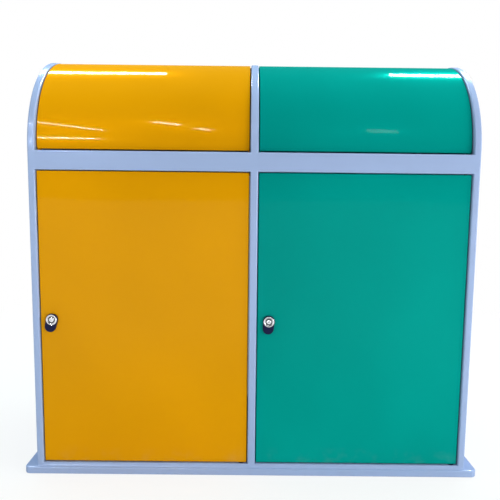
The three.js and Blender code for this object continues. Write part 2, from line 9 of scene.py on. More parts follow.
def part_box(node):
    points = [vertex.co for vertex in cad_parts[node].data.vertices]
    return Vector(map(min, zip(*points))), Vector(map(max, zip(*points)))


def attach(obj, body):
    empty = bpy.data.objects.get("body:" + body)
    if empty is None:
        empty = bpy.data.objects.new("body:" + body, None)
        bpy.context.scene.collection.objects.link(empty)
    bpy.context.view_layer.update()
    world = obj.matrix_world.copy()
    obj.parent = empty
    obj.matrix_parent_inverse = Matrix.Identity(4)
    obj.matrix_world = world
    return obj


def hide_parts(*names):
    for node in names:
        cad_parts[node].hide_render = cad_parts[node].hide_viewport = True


# Double recycling bin: powder-coated sheet metal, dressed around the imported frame.
# Everything is in metres, in the frame's own axes; mm turns drawing sizes into metres.
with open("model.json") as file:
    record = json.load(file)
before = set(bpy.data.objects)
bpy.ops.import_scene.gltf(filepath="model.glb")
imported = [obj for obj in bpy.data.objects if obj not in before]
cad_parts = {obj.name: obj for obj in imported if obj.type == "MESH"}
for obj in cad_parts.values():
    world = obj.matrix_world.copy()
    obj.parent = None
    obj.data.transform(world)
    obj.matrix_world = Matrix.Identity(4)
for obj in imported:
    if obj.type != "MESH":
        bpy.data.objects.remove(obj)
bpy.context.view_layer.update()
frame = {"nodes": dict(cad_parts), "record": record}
record = frame["record"]
bodyOf = {node: body for body, nodes in record["behaviour"]["bodies"].items() for node in nodes}
slotOf = {part["node"]: part["material_slot"] for part in record["subparts"]}
mm = 0.001
sides = ("left", "right")
seatGap = 0.3 * mm  # the frame's gap between welded or seated pieces, closed here
scene = bpy.context.scene
print("frame loaded:", len(frame["nodes"]), "nodes")


# Node trees: every texture is laid out in object coordinates, so it moves with its piece
def newMaterial(name):
    material = bpy.data.materials.new(name)
    material.use_nodes = True
    tree = material.node_tree
    return material, tree, tree.nodes["Principled BSDF"]


def connect(tree, node, inputs):
    for key, value in inputs.items():
        if isinstance(value, bpy.types.NodeSocket):
            tree.links.new(value, node.inputs[key])
        else:
            node.inputs[key].default_value = value


def addNode(tree, kind, settings=None, inputs=None):
    node = tree.nodes.new(kind)
    for key, value in (settings or {}).items():
        setattr(node, key, value)
    connect(tree, node, inputs or {})
    return node


def objectCoordinates(tree, stretch=(1, 1, 1)):
    spot = addNode(tree, "ShaderNodeTexCoord").outputs["Object"]
    return addNode(tree, "ShaderNodeMapping", inputs={"Vector": spot, "Scale": stretch}).outputs["Vector"]


def noise(tree, scale, detail=2, stretch=(1, 1, 1), distortion=0):
    where = objectCoordinates(tree, stretch)
    node = addNode(tree, "ShaderNodeTexNoise", inputs={
        "Vector": where, "Scale": scale, "Detail": detail, "Distortion": distortion,
    })
    return node.outputs["Fac"]


def remap(tree, value, low, high, toLow, toHigh):
    node = addNode(tree, "ShaderNodeMapRange", {"clamp": True}, {
        "Value": value, "From Min": low, "From Max": high, "To Min": toLow, "To Max": toHigh,
    })
    return node.outputs["Result"]


def calculate(tree, operation, first, second):
    return addNode(tree, "ShaderNodeMath", {"operation": operation}, {0: first, 1: second}).outputs[0]


def blendColours(tree, factor, first, second):
    # the mix node's colours are its inputs 6 and 7, and its output 2
    return addNode(tree, "ShaderNodeMix", {"data_type": "RGBA"}, {"Factor": factor, 6: first, 7: second}).outputs[2]


def mottle(tree, look):
    # noise, its values between two limits spread over a new range
    pattern = noise(tree, look["scale"], look["detail"], look.get("stretch", (1, 1, 1)), look.get("distortion", 0))
    return remap(tree, pattern, *look["from"], *look["to"])


def bump(tree, height, distance, strength=1, under=None):
    inputs = {"Height": height, "Distance": distance, "Strength": strength}
    if under:
        inputs["Normal"] = under
    return addNode(tree, "ShaderNodeBump", inputs=inputs).outputs["Normal"]


def grain(tree, look, under=None):
    return bump(tree, noise(tree, look["scale"], look["detail"]), look["depth"], look["strength"], under)


def fromScreen(red, green, blue):
    return tuple((c / 12.92 if c <= 0.04045 else ((c + 0.055) / 1.055) ** 2.4)
                 for c in (red / 255, green / 255, blue / 255)) + (1,)


def scaled(colour, factor):
    return tuple(min(channel * factor, 1) for channel in colour[:3]) + (1,)


# Powder coat: colour under a thin clear gloss, on slightly wavy sheet, with orange peel, specks,
# faint rubs and some dust near the ground; only the clear gloss mirrors, so the colour holds at a low angle.
# A large soft cloud lightens and darkens the colour: partly random tone, partly painted reflection of soft sheen bands
powderCoat = {
    "frame_paint": {"colour": fromScreen(164, 183, 221), "metal": 0.1, "coat": 0.25, "toneAndSheen": 0.03, "wave": 0.08},
    "amber_paint": {"colour": fromScreen(226, 155, 2), "metal": 0.04, "coat": 0.16, "toneAndSheen": 0.12, "wave": 0.16},
    "green_paint": {"colour": fromScreen(0, 148, 138), "metal": 0.04, "coat": 0.06, "toneAndSheen": 0.2, "wave": 0.16},
}
paintDetail = {
    # the large cloud: some random tone, and painted sheen, the soft reflections of the surroundings
    "toneAndSheen": {"scale": 2.1, "detail": 2, "stretch": (1, 1, 0.8), "distortion": 0.3, "from": (0.2, 0.8), "to": (0, 1)},
    "speck": {"scale": 900, "detail": 1, "from": (0.66, 0.74), "to": (0, 0.1)},
    "speckShade": 0.7,
    "dust": {"scale": 38, "detail": 6, "from": (0.5, 0.8), "to": (0, 0.06)},
    "dustHeights": (0.018, 0.07),  # full below the first, none above the second
    "dustColour": fromScreen(206, 204, 200),
    "rub": {"scale": 6, "detail": 3, "stretch": (1, 1, 2), "from": (0.45, 0.8), "to": (0, 0.01)},
    "rough": {"scale": 5, "detail": 2, "from": (0.3, 0.7), "to": (0.22, 0.25)},
    "wave": {"scale": 3.1, "detail": 1, "depth": 0.006},
    "peel": {"scale": 420, "detail": 2, "depth": 0.00006, "strength": 0.3},
    "coatRough": 0.035,
}


def paintFinish(name, look):
    material, tree, shader = newMaterial(name)
    colour = look["colour"]
    # painted reflection: the cloud lightens and darkens the colour like soft sheen, over a little random tone
    base = blendColours(tree, mottle(tree, paintDetail["toneAndSheen"]),
                        scaled(colour, 1 - look["toneAndSheen"]), scaled(colour, 1 + look["toneAndSheen"]))
    base = blendColours(tree, mottle(tree, paintDetail["speck"]), base, scaled(colour, paintDetail["speckShade"]))
    height = addNode(tree, "ShaderNodeSeparateXYZ", inputs={0: objectCoordinates(tree)}).outputs["Z"]
    low = remap(tree, height, *paintDetail["dustHeights"], 1, 0)
    dust = calculate(tree, "MULTIPLY", low, mottle(tree, paintDetail["dust"]))
    wave = grain(tree, {**paintDetail["wave"], "strength": look["wave"]})
    connect(tree, shader, {
        "Base Color": blendColours(tree, dust, base, paintDetail["dustColour"]),
        "Roughness": calculate(tree, "ADD", mottle(tree, paintDetail["rough"]), mottle(tree, paintDetail["rub"])),
        "Normal": grain(tree, paintDetail["peel"], wave),
        "Coat Normal": wave,
        "Metallic": look["metal"],
        "Specular IOR Level": 0,
        "Specular Tint": scaled(colour, 1 / max(colour[:3])),
        "Coat Weight": look["coat"],
        "Coat Roughness": paintDetail["coatRough"],
    })
    return material


# Galvanised sheet: zinc spangle in flat crystals of differing grey, slightly stained
spangle = {
    "scale": 115,
    "tones": (fromScreen(146, 151, 155), fromScreen(182, 186, 189)),
    "rough": (0.28, 0.46),
    "stain": {"scale": 5, "detail": 3, "distortion": 0.5, "from": (0.5, 0.75), "to": (0, 0.18)},
    "stainColour": fromScreen(160, 158, 152),
    "grain": {"scale": 160, "detail": 3, "depth": 0.0001, "strength": 0.3},
    "metal": 0.85,
}


def galvanisedFinish():
    material, tree, shader = newMaterial("galvanised")
    crystal = addNode(tree, "ShaderNodeTexVoronoi", inputs={
        "Vector": objectCoordinates(tree), "Scale": spangle["scale"], "Randomness": 1,
    })
    tone = addNode(tree, "ShaderNodeSeparateColor", inputs={0: crystal.outputs["Color"]}).outputs[0]
    base = blendColours(tree, tone, *spangle["tones"])
    connect(tree, shader, {
        "Base Color": blendColours(tree, mottle(tree, spangle["stain"]), base, spangle["stainColour"]),
        "Roughness": remap(tree, tone, 0, 1, *spangle["rough"]),
        "Normal": grain(tree, spangle["grain"]),
        "Metallic": spangle["metal"],
    })
    return material


# Grained surfaces: lay marks on turned steel, fine pores on mouldings; patches of a second tone are
# a faint yellow cast on the zinc, wear on the black oxide, and scuffs on plastic and rubber
scuffs = {"scale": 60, "detail": 5, "distortion": 1, "from": (0.58, 0.74)}
grained = {
    "black_plastic": {
        "grain": (700, 2), "depth": 0.00004, "relief": 0.4, "rough": (0.34, 0.5), "metal": 0, "shine": 0.15,
        "tones": ((0.006, 0.0085, 0.05, 1), (0.09, 0.09, 0.11, 1)),
        "patches": {**scuffs, "to": (0, 0.08)},
    },
    "rubber": {
        "grain": (350, 2), "depth": 0.0001, "relief": 0.4, "rough": (0.68, 0.84), "metal": 0, "shine": 0.4,
        "tones": ((0.014, 0.014, 0.014, 1), (0.09, 0.09, 0.11, 1)),
        "patches": {**scuffs, "to": (0, 0.25)},
    },
    "zinc_steel": {
        "grain": (300, 2, (1, 1, 6)), "depth": 0.00003, "relief": 0.35, "rough": (0.26, 0.42), "metal": 0.9,
        "shine": 0.5, "tones": (fromScreen(178, 181, 186), fromScreen(196, 194, 182)),
        "patches": {"scale": 22, "detail": 3, "from": (0.35, 0.7), "to": (0, 1)},
    },
    "black_steel": {
        "grain": (260, 2, (1, 1, 5)), "depth": 0.00003, "relief": 0.3, "rough": (0.36, 0.5), "metal": 0.7,
        "shine": 0.5, "tones": ((0.022, 0.022, 0.025, 1), (0.09, 0.09, 0.095, 1)),
        "patches": {"scale": 90, "detail": 4, "from": (0.55, 0.75), "to": (0, 0.5)},
    },
}
grainRange = (0.3, 0.7)  # of the noise, spread over the roughness


def grainedFinish(name, look):
    material, tree, shader = newMaterial(name)
    pattern = noise(tree, *look["grain"])
    connect(tree, shader, {
        "Base Color": blendColours(tree, mottle(tree, look["patches"]), *look["tones"]),
        "Roughness": remap(tree, pattern, *grainRange, *look["rough"]),
        "Normal": bump(tree, pattern, look["depth"], look["relief"]),
        "Metallic": look["metal"],
        "Specular IOR Level": look["shine"],
    })
    return material


# Chrome of the ring and the key plug, slightly hazed
plating = {
    "haze": {"scale": 180, "detail": 3},
    "hazeRange": (0.3, 0.75),
    "tones": (fromScreen(232, 235, 242), fromScreen(248, 250, 254)),
    "rough": (0.1, 0.2),
    "grain": {"scale": 1500, "detail": 1, "depth": 0.00001, "strength": 0.2},
}


def chromeFinish():
    material, tree, shader = newMaterial("chrome")
    haze = noise(tree, **plating["haze"])
    connect(tree, shader, {
        "Base Color": blendColours(tree, haze, *plating["tones"]),
        "Roughness": remap(tree, haze, *plating["hazeRange"], *plating["rough"]),
        "Normal": grain(tree, plating["grain"]),
        "Metallic": 1,
    })
    return material


finishes = {name: paintFinish(name, look) for name, look in powderCoat.items()}
finishes.update({name: grainedFinish(name, look) for name, look in grained.items()})
finishes["galvanised"] = galvanisedFinish()
finishes["chrome"] = chromeFinish()
print("finishes:", ", ".join(finishes))


# Meshes
def loft(rings, closed=False):
    # skins rings of equal length; a closed loft joins the last ring to the first, an open one is capped
    shape = bmesh.new()
    rows = [[shape.verts.new(point) for point in ring] for ring in rings]
    count = len(rows[0])
    for first, second in zip(rows, rows[1:] + (rows[:1] if closed else [])):
        for index in range(count):
            after = (index + 1) % count
            shape.faces.new((first[index], first[after], second[after], second[index]))
    if not closed:
        shape.faces.new(rows[0])
        shape.faces.new(reversed(rows[-1]))
    return shape


def applyModifier(piece, kind, **settings):
    modifier = piece.modifiers.new(kind.title(), kind)
    for key, value in settings.items():
        setattr(modifier, key, value)
    with bpy.context.temp_override(object=piece, active_object=piece, selected_objects=[piece]):
        bpy.ops.object.modifier_apply(modifier=modifier.name)


def objectFrom(name, shape):
    bmesh.ops.recalc_face_normals(shape, faces=shape.faces)
    mesh = bpy.data.meshes.new(name)
    shape.to_mesh(mesh)
    shape.free()
    piece = bpy.data.objects.new(name, mesh)
    scene.collection.objects.link(piece)
    return piece


def cutAway(piece, *tools):
    for tool in tools:
        cutter = objectFrom("cutter", tool)
        applyModifier(piece, "BOOLEAN", object=cutter, operation="DIFFERENCE", solver="EXACT")
        bpy.data.objects.remove(cutter)


# Finish of every piece: which edges are bevelled, and which are shaded sharp
edges = {"bevelAngle": 32, "bevelSegments": 2, "sharpAngle": 38, "faceWeight": 90}


def place(name, shape, node, replaces=True, finish=None, bevel=0, cuts=()):
    # turns a mesh into a finished piece that stands for a node, or rides beside it
    piece = shape if isinstance(shape, bpy.types.Object) else objectFrom(name, shape)
    piece.data.materials.clear()
    cutAway(piece, *cuts)
    if bevel:
        applyModifier(piece, "BEVEL", width=bevel, segments=edges["bevelSegments"], limit_method="ANGLE",
                      angle_limit=math.radians(edges["bevelAngle"]), use_clamp_overlap=True)
    piece.data.shade_smooth()
    piece.data.set_sharp_from_angle(angle=math.radians(edges["sharpAngle"]))
    applyModifier(piece, "WEIGHTED_NORMAL", keep_sharp=True, weight=edges["faceWeight"])
    slot = finish or slotOf[node]
    piece.data.materials.append(finishes[slot])
    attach(piece, bodyOf[node])
    if replaces:
        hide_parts(node)
    return piece


# Nodes that keep their own mesh: close vertices merged, facets under an angle joined
merging = {"distance": 0.005 * mm, "angle": 0.8}


def refined(node, bevel):
    # the node's own mesh, with its facets joined and its edges broken
    shape = bmesh.new()
    shape.from_mesh(frame["nodes"][node].data)
    bmesh.ops.remove_doubles(shape, verts=shape.verts, dist=merging["distance"])
    bmesh.ops.dissolve_limit(shape, angle_limit=math.radians(merging["angle"]), verts=shape.verts, edges=shape.edges)
    return place(f"{node}_dress", shape, node, bevel=bevel)


def roundedRing(halfWidth, halfHeight, radius, steps=6):
    points = []
    corners = ((1, 1), (-1, 1), (-1, -1), (1, -1))
    for quarter, (across, along) in enumerate(corners):
        for step in range(steps + 1):
            angle = math.pi / 2 * (quarter + step / steps)
            points.append((
                across * (halfWidth - radius) + radius * math.cos(angle),
                along * (halfHeight - radius) + radius * math.sin(angle),
            ))
    return points


def arc(centre, radius, startDegrees, endDegrees, steps):
    for step in range(steps + 1):
        angle = math.radians(startDegrees + (endDegrees - startDegrees) * step / steps)
        yield centre[0] + radius * math.cos(angle), centre[1] + radius * math.sin(angle)


def rotated(points, degrees):
    turn = math.radians(degrees)
    return [(x * math.cos(turn) - z * math.sin(turn), x * math.sin(turn) + z * math.cos(turn)) for x, z in points]


def turned(profile, axis, centre, steps=48, closed=False):
    # a lathe shape: profile pairs are (place along the axis, radius)
    swap = {
        "x": lambda along, a, b: (along, centre[0] + a, centre[1] + b),
        "y": lambda along, a, b: (centre[0] + a, along, centre[1] + b),
        "z": lambda along, a, b: (centre[0] + a, centre[1] + b, along),
    }[axis]
    turns = [2 * math.pi * step / steps for step in range(steps)]
    rings = [[swap(along, radius * math.cos(t), radius * math.sin(t)) for t in turns] for along, radius in profile]
    return loft(rings, closed)


def roundBar(axis, centre, radius, start, end, chamfer, steps=48):
    profile = [(start, radius - chamfer), (start + chamfer, radius), (end - chamfer, radius), (end, radius - chamfer)]
    return turned(profile, axis, centre, steps)


# Cutters for holes: how far they run past a surface and through it, and their own edge
drilling = {"past": 3 * mm, "through": 5 * mm, "edge": 0.05 * mm}


def drill(axis, centre, radius, start, end, steps=48):
    return roundBar(axis, centre, radius, start, end, drilling["edge"], steps)


def sleeve(axis, centre, radius, bore, start, end, chamfer):
    profile = [
        (start, radius - chamfer), (start + chamfer, radius), (end - chamfer, radius), (end, radius - chamfer),
        (end, bore + chamfer / 2), (end - chamfer / 2, bore), (start + chamfer / 2, bore), (start, bore + chamfer / 2),
    ]
    return turned(profile, axis, centre, closed=True)


def tubeAlong(points, radius, steps):
    # a round wire along points, its section carried along without twisting
    points = [Vector(point) for point in points]
    ways = [(b - a).normalized() for a, b in zip(points, points[1:])]
    tangents = [ways[0]] + [(a + b).normalized() for a, b in zip(ways, ways[1:])] + [ways[-1]]
    turns = [2 * math.pi * step / steps for step in range(steps)]
    side = tangents[0].orthogonal().normalized()
    rings = []
    for point, tangent in zip(points, tangents):
        side = (side - tangent * side.dot(tangent)).normalized()
        up = tangent.cross(side)
        rings.append([point + radius * (math.cos(t) * side + math.sin(t) * up) for t in turns])
    return loft(rings)


# Folded sheet: pieces in a bend, the smallest radii, and how a cut edge is broken
folding = {
    "steps": 5, "leastCorner": 0.2 * mm, "leastInside": 0.15 * mm, "edgeDrop": 0.2 * mm, "edgeInset": 0.3 * mm,
}


def foldedOutline(path, thickness, bend):
    # a folded sheet's section: path is its outer face, the sheet lies to the left of it
    def left(way):
        return Vector((-way.y, way.x))

    path = [Vector(point) for point in path]
    ways = [(b - a).normalized() for a, b in zip(path, path[1:])]
    outer = [path[0]]
    inner = [path[0] + left(ways[0]) * thickness]
    for corner, before, after in zip(path[1:-1], ways, ways[1:]):
        turn = math.atan2(before.x * after.y - before.y * after.x, before.dot(after))
        side = 1 if turn > 0 else -1
        radius = bend if side > 0 else bend - thickness
        setBack = radius * math.tan(abs(turn) / 2)
        centre = corner - before * setBack + left(before) * side * radius
        for step in range(folding["steps"] + 1):
            spin = Matrix.Rotation(turn * step / folding["steps"], 2)
            spoke = spin @ (-left(before) * side)
            outer.append(centre + spoke * radius)
            inner.append(centre + spoke * (radius - side * thickness))
    outer.append(path[-1])
    inner.append(path[-1] + left(ways[-1]) * thickness)
    return [tuple(point) for point in outer + inner[::-1]]


def extrudeAcross(outline, x0, x1):
    return loft([[(x, y, z) for y, z in outline] for x in (x0, x1)])


def pan(axis, low, high, face, back, sheet, fold, corner, flange=0):
    # a sheet folded into a tray: the face is flat, the walls run back to an edge or an inward flange
    centre = [(a + b) / 2 for a, b in zip(low, high)]
    half = [(b - a) / 2 for a, b in zip(low, high)]
    way = 1 if back > face else -1

    def ring(inset, depth, radius):
        points = roundedRing(half[0] - inset, half[1] - inset, max(radius, folding["leastCorner"]))
        level = face + way * depth
        if axis == "z":
            return [(centre[0] + a, centre[1] + b, level) for a, b in points]
        return [(centre[0] + a, level, centre[1] + b) for a, b in points]

    depth = abs(back - face)
    bends = [math.pi / 2 * step / folding["steps"] for step in range(folding["steps"] + 1)]
    falls = [1 - math.sin(t) for t in bends]
    rises = [1 - math.cos(t) for t in bends]
    inside = max(fold - sheet, folding["leastInside"])
    rings = [ring(fold * a, fold * b, corner - fold * a) for a, b in zip(falls, rises)]
    if flange:
        rings += [ring(fold * b, depth - fold * a, corner - fold * b) for a, b in zip(falls, rises)]
        rings += [ring(flange, depth, corner - flange), ring(flange, depth - sheet, corner - flange)]
        rings += [ring(sheet + inside * a, depth - sheet - inside * b, corner - sheet) for a, b in zip(falls, rises)]
    else:
        cut = folding["edgeInset"]
        rings += [ring(0, depth - folding["edgeDrop"], corner), ring(cut, depth, corner - cut),
                  ring(sheet, depth, corner - sheet)]
    rings += [ring(sheet + inside * b, sheet + inside * a, corner - sheet - inside * b) for a, b in zip(falls, rises)]
    return loft(rings)


# Roof arch, as the frame gives it
hoopLow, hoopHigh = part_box("hoop_left")
arch = {
    "radius": -hoopLow.y,
    "centre": hoopHigh.z + hoopLow.y,
    "steps": 96,  # along half the circle
}


# Base tray: folded sheet with rounded corners and four anchor holes in each floor
tray = {
    "sheet": 2 * mm, "fold": 3 * mm, "corner": 12 * mm, "rim": 22 * mm,
    "holeInset": 60 * mm, "hole": 5.5 * mm,
}


def buildTray():
    low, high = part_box("base_tray")
    shape = pan("z", low.xy, high.xy, high.z, low.z, tray["sheet"], tray["fold"], tray["corner"], tray["rim"])
    holes = []
    for side in sides:
        bayLow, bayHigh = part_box(f"bottom_rail_{side}")
        for x in (bayLow.x + tray["holeInset"], bayHigh.x - tray["holeInset"]):
            for y in (bayLow.y + tray["holeInset"], -bayLow.y - tray["holeInset"]):
                holes.append(drill("z", (x, y), tray["hole"], high.z - tray["sheet"] - drilling["past"],
                                   high.z + drilling["past"], 24))
    place("baseTray", shape, "base_tray", cuts=holes)


buildTray()
print("base tray built")


# Hoops: rectangular tube with rounded edges, bent over the roof
hoop = {"wall": 1.5 * mm, "depth": 20 * mm, "edge": 3 * mm, "innerEdge": 1.8 * mm, "sheetEdge": 0.25 * mm}


def hoopCurve(inward):
    # the hoop's side view at one depth below its outer face, from foot to foot
    radius = arch["radius"] - inward
    foot = hoopLow.z - seatGap
    return [(-radius, foot), *arc((0, arch["centre"]), radius, 180, 0, arch["steps"]), (radius, foot)]


def buildHoop(node):
    low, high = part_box(node)
    middle = (low.x + high.x) / 2
    halfWidth = (high.x - low.x) / 2
    halfDepth = hoop["depth"] / 2
    rings = []
    for inset, radius, order in ((0, hoop["edge"], 1), (hoop["wall"], hoop["innerEdge"], -1)):
        section = roundedRing(halfWidth - inset, halfDepth - inset, radius)
        curves = [hoopCurve(halfDepth - depth)[::order] for across, depth in section]
        for points in zip(*curves):
            rings.append([(middle + across, *point) for (across, depth), point in zip(section, points)])
    place(node.replace("_", "Tube_"), loft(rings, closed=True), node)


for node in ("hoop_left", "hoop_centre", "hoop_right"):
    buildHoop(node)
for node in ("side_panel_left", "side_panel_right", "centre_divider"):
    refined(node, hoop["sheetEdge"])
print("hoops and side panels built")


# Crossbars and rails: folded sections, run into the tubes' rounded edges so that the joint is ground flush
bars = {
    "sheet": 1.5 * mm, "bend": 2.2 * mm, "railBend": 3 * mm, "hem": 5.5 * mm, "edge": 0.35 * mm,
    "ridgeEdge": 0.6 * mm, "pinGap": 0.3 * mm,
}


def pinHole(side, level, below=drilling["past"], above=drilling["past"]):
    # the hole that a hinge pin turns in, through the sheet at one level
    low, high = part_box(f"hinge_pin_upper_{side}")
    radius = (high.x - low.x) / 2 + bars["pinGap"]
    return drill("z", ((low + high) / 2).xy, radius, level - below, level + above, 32)


def buildBar(name, node, path, bend, drilled=None):
    low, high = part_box(node)
    reach = seatGap + hoop["edge"]
    shape = extrudeAcross(foldedOutline(path, bars["sheet"], bend), low.x - reach, high.x + reach)
    place(name, shape, node, cuts=[] if drilled is None else [drilled], bevel=bars["edge"])


def buildBars(side):
    node = f"crossbar_{side}"
    low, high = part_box(node)
    path = [(low.y + bars["hem"], high.z), (low.y, high.z), (low.y, low.z), (high.y, low.z)]
    buildBar(f"crossbar.{side}", node, path, bars["bend"], pinHole(side, low.z, above=drilling["through"]))

    node = f"bottom_rail_{side}"
    low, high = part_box(node)
    path = [(high.y, high.z), (low.y, high.z), (low.y, low.z - seatGap)]
    buildBar(f"bottomRail.{side}", node, path, bars["railBend"], pinHole(side, high.z, below=drilling["through"]))

    node = f"rear_crossbar_{side}"
    low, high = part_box(node)
    path = [(low.y, low.z), (high.y, low.z), (high.y, high.z), (low.y, high.z)]
    buildBar(f"rearCrossbar.{side}", node, path, bars["bend"])
    refined(f"ridge_bar_{side}", bars["ridgeEdge"])


# Weld: hollow fillets along the front, high under the doors and low under the outer hoops
weld = {
    "depth": {"doors": 5.4 * mm, "left": 3.5 * mm, "right": 3.5 * mm},
    "hoopHeight": 3.5 * mm,
    "underDoor": 1.2 * mm,  # left free for the doors to swing
    "inset": 1.5 * mm,
    "sink": 0.3 * mm,
    "behind": 0.6 * mm,
    "steps": 10,
}


def buildWeld():
    face = hoopLow.y
    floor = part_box("base_tray")[1].z
    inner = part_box("bottom_rail_left")[0].x
    outer = hoopLow.x + weld["inset"]
    spans = {
        "doors": (inner, -inner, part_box("door_left")[0].z - weld["underDoor"] - floor),
        "left": (outer, inner, weld["hoopHeight"]),
        "right": (-inner, -outer, weld["hoopHeight"]),
    }
    for name, (x0, x1, height) in spans.items():
        bow = arc((0, 0), 1, 0, -90, weld["steps"])
        depth = weld["depth"][name]
        back, foot = face + weld["behind"], floor - weld["sink"]
        outline = [(face - depth * (1 - a), floor + height * (1 + b)) for a, b in bow]
        outline += [(face - depth, foot), (back, foot), (back, floor + height)]
        place(f"frontWeld.{name}", extrudeAcross(outline, x0, x1), "base_tray", replaces=False)


buildWeld()


# Rear: shallow pans below, a rolled hood above
rear = {
    "sheet": 1.2 * mm, "fold": 2 * mm, "corner": 2.4 * mm,
    "hoodSheet": 1.5 * mm, "lip": 0.3 * mm, "steps": 72,
}


def rolledSheet(x0, x1, outer, inner, thickness, lip, corner=0):
    # a sheet rolled between two side-view curves: its side edges are broken, its foot's corners rounded
    runs = [min((Vector(point) - Vector(outer[0])).length, corner) for point in outer]
    insets = [corner - math.sqrt(corner ** 2 - (corner - run) ** 2) for run in runs]
    middle = (x0 + x1) / 2
    stations = [(x0 + lip, 0), (x0, lip), (x1, lip), (x1 - lip, 0)]
    rows = []
    for near, far, order in ((outer, inner, 1), (inner, outer, -1)):
        for x, depth in stations[::order]:
            way = 1 if x < middle else -1
            rows.append([(x + way * inset, *Vector(a).lerp(Vector(b), depth / thickness))
                         for a, b, inset in zip(near, far, insets)])
    return skinned(rows)


def skinned(rows):
    # rows run round the sheet's section; its two ends are capped
    shape = bmesh.new()
    grid = [[shape.verts.new(point) for point in row] for row in rows]
    for first, second in zip(grid, grid[1:] + grid[:1]):
        for a0, a1, b0, b1 in zip(first, first[1:], second, second[1:]):
            shape.faces.new((a0, a1, b1, b0))
    shape.faces.new([row[0] for row in grid])
    shape.faces.new([row[-1] for row in grid][::-1])
    return shape


def buildRear(side):
    low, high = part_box(f"back_panel_{side}")
    shape = pan("y", low.xz, high.xz, high.y, low.y, rear["sheet"], rear["fold"], rear["corner"])
    place(f"backPanel.{side}", shape, f"back_panel_{side}")

    low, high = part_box(f"rear_hood_{side}")
    outerRadius = high.z - arch["centre"]
    end = math.degrees(math.acos(low.y / outerRadius))
    innerRadius = outerRadius - rear["hoodSheet"]
    curves = []
    for radius, footY in ((outerRadius, high.y), (innerRadius, innerRadius)):
        curves.append([(footY, low.z)] + list(arc((0, arch["centre"]), radius, 0, end, rear["steps"])))
    hood = rolledSheet(low.x - seatGap, high.x + seatGap, *curves, rear["hoodSheet"], rear["lip"])
    place(f"rearHood.{side}", hood, f"rear_hood_{side}")


for side in sides:
    buildBars(side)
    buildRear(side)
print("crossbars, rails and rear built")


# Doors: folded pans with soft edges, a lock hole and pin holes in the flanges
door = {
    "sheet": 1.5 * mm, "fold": 2 * mm, "corner": 2.6 * mm, "lockHole": 9.3 * mm,
    "stripEdge": 0.4 * mm, "pinEdge": 0.8 * mm, "washerBore": 4.2 * mm, "washerEdge": 0.4 * mm,
}


def buildDoor(side):
    low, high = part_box(f"door_{side}")
    lockLow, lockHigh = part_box(f"lock_ring_{side}")
    lockAt = ((lockLow + lockHigh) / 2).xz
    shape = pan("y", low.xz, high.xz, low.y, high.y, door["sheet"], door["fold"], door["corner"])
    lockHole = drill("y", lockAt, door["lockHole"], low.y - drilling["past"], low.y + door["sheet"] + drilling["past"])
    place(f"door.{side}", shape, f"door_{side}", cuts=[lockHole, pinHole(side, low.z), pinHole(side, high.z)])
    refined(f"door_stiffener_{side}", door["stripEdge"])
    refined(f"door_stop_{side}", door["stripEdge"])
    for end in ("upper", "lower"):
        node = f"hinge_pin_{end}_{side}"
        low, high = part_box(node)
        pin = roundBar("z", ((low + high) / 2).xy, (high.x - low.x) / 2, low.z, high.z, door["pinEdge"])
        place(f"hingePin.{end}.{side}", pin, node)
    node = f"hinge_washer_{side}"
    low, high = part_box(node)
    washer = sleeve("z", ((low + high) / 2).xy, (high.x - low.x) / 2, door["washerBore"],
                    low.z, high.z, door["washerEdge"])
    place(f"hingeWasher.{side}", washer, node)


# Turn handle: two rounded ends and a rounded front edge, a spindle behind, a pocket for the key plug
handle = {
    "top": 13.4 * mm,  # radius round the lock
    "tip": 12.4 * mm,
    "drop": 16.8 * mm,  # from the lock down to the tip's centre
    "lean": {"left": 13, "right": 5},  # degrees, the tip to the left
    "edge": 1.6 * mm,
    "edgeSteps": 7,
    "backEdge": 0.4 * mm,
    "offDoor": 0.3 * mm,
    "spindle": 5.7 * mm,
    "spindleRoot": 1 * mm,
    "spindleEdge": 0.4 * mm,
    "bore": 5.8 * mm,
    "pocket": 4.5 * mm,
}


def handleRing(at, inset, y, lean):
    taper = math.degrees(math.asin((handle["top"] - handle["tip"]) / handle["drop"]))
    points = list(arc((0, 0), handle["top"] - inset, -taper, 180 + taper, 28))
    points += list(arc((0, -handle["drop"]), handle["tip"] - inset, 180 + taper, 360 - taper, 24))
    return [(at.x + x, y, at.z + z) for x, z in rotated(points, -lean)]


def buildHandle(side, at, doorFace):
    node = f"lock_handle_{side}"
    low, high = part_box(node)
    back = doorFace - handle["offDoor"]
    edge = handle["edge"]
    lean = handle["lean"][side]
    rings = [handleRing(at, handle["backEdge"], back, lean), handleRing(at, 0, back - handle["backEdge"], lean)]
    for step in range(handle["edgeSteps"] + 1):
        turn = math.pi / 2 * step / handle["edgeSteps"]
        rings.append(handleRing(at, edge * (1 - math.cos(turn)), low.y + edge * (1 - math.sin(turn)), lean))
    spindle = roundBar("y", at.xz, handle["spindle"], back - handle["spindleRoot"], high.y, handle["spindleEdge"], 32)
    piece = objectFrom(f"lockHandle.{side}", loft(rings))
    stub = objectFrom("stub", spindle)
    applyModifier(piece, "BOOLEAN", object=stub, operation="UNION", solver="EXACT")
    bpy.data.objects.remove(stub)
    pocket = drill("y", at.xz, handle["bore"], low.y - drilling["past"], low.y + handle["pocket"])
    place(f"lockHandle.{side}", piece, node, cuts=[pocket])


# Chrome ring on the handle: a round rim, and inside it a groove round the plug, with a black rubber ring in it as
# painted shade, the dark round the recessed plug
bezel = {
    "rim": 1.5 * mm, "rimRise": 0.5 * mm, "rimFall": 0.6 * mm, "backEdge": 0.2 * mm,
    "groove": 8.1 * mm, "grooveSlope": 0.2 * mm, "floor": 0.25 * mm, "setBack": 0.3 * mm,
    "wall": (0.25 * mm, 0.15 * mm),  # thickness between groove and plug, at its foot and its lip
}
# black rubber ring in the groove: painted shade round the recessed plug
shadeRing = {"inner": 0.3 * mm, "outer": 0.1 * mm, "foot": 0.2 * mm, "behind": 0.7 * mm, "crown": 0.3 * mm, "steps": 8}


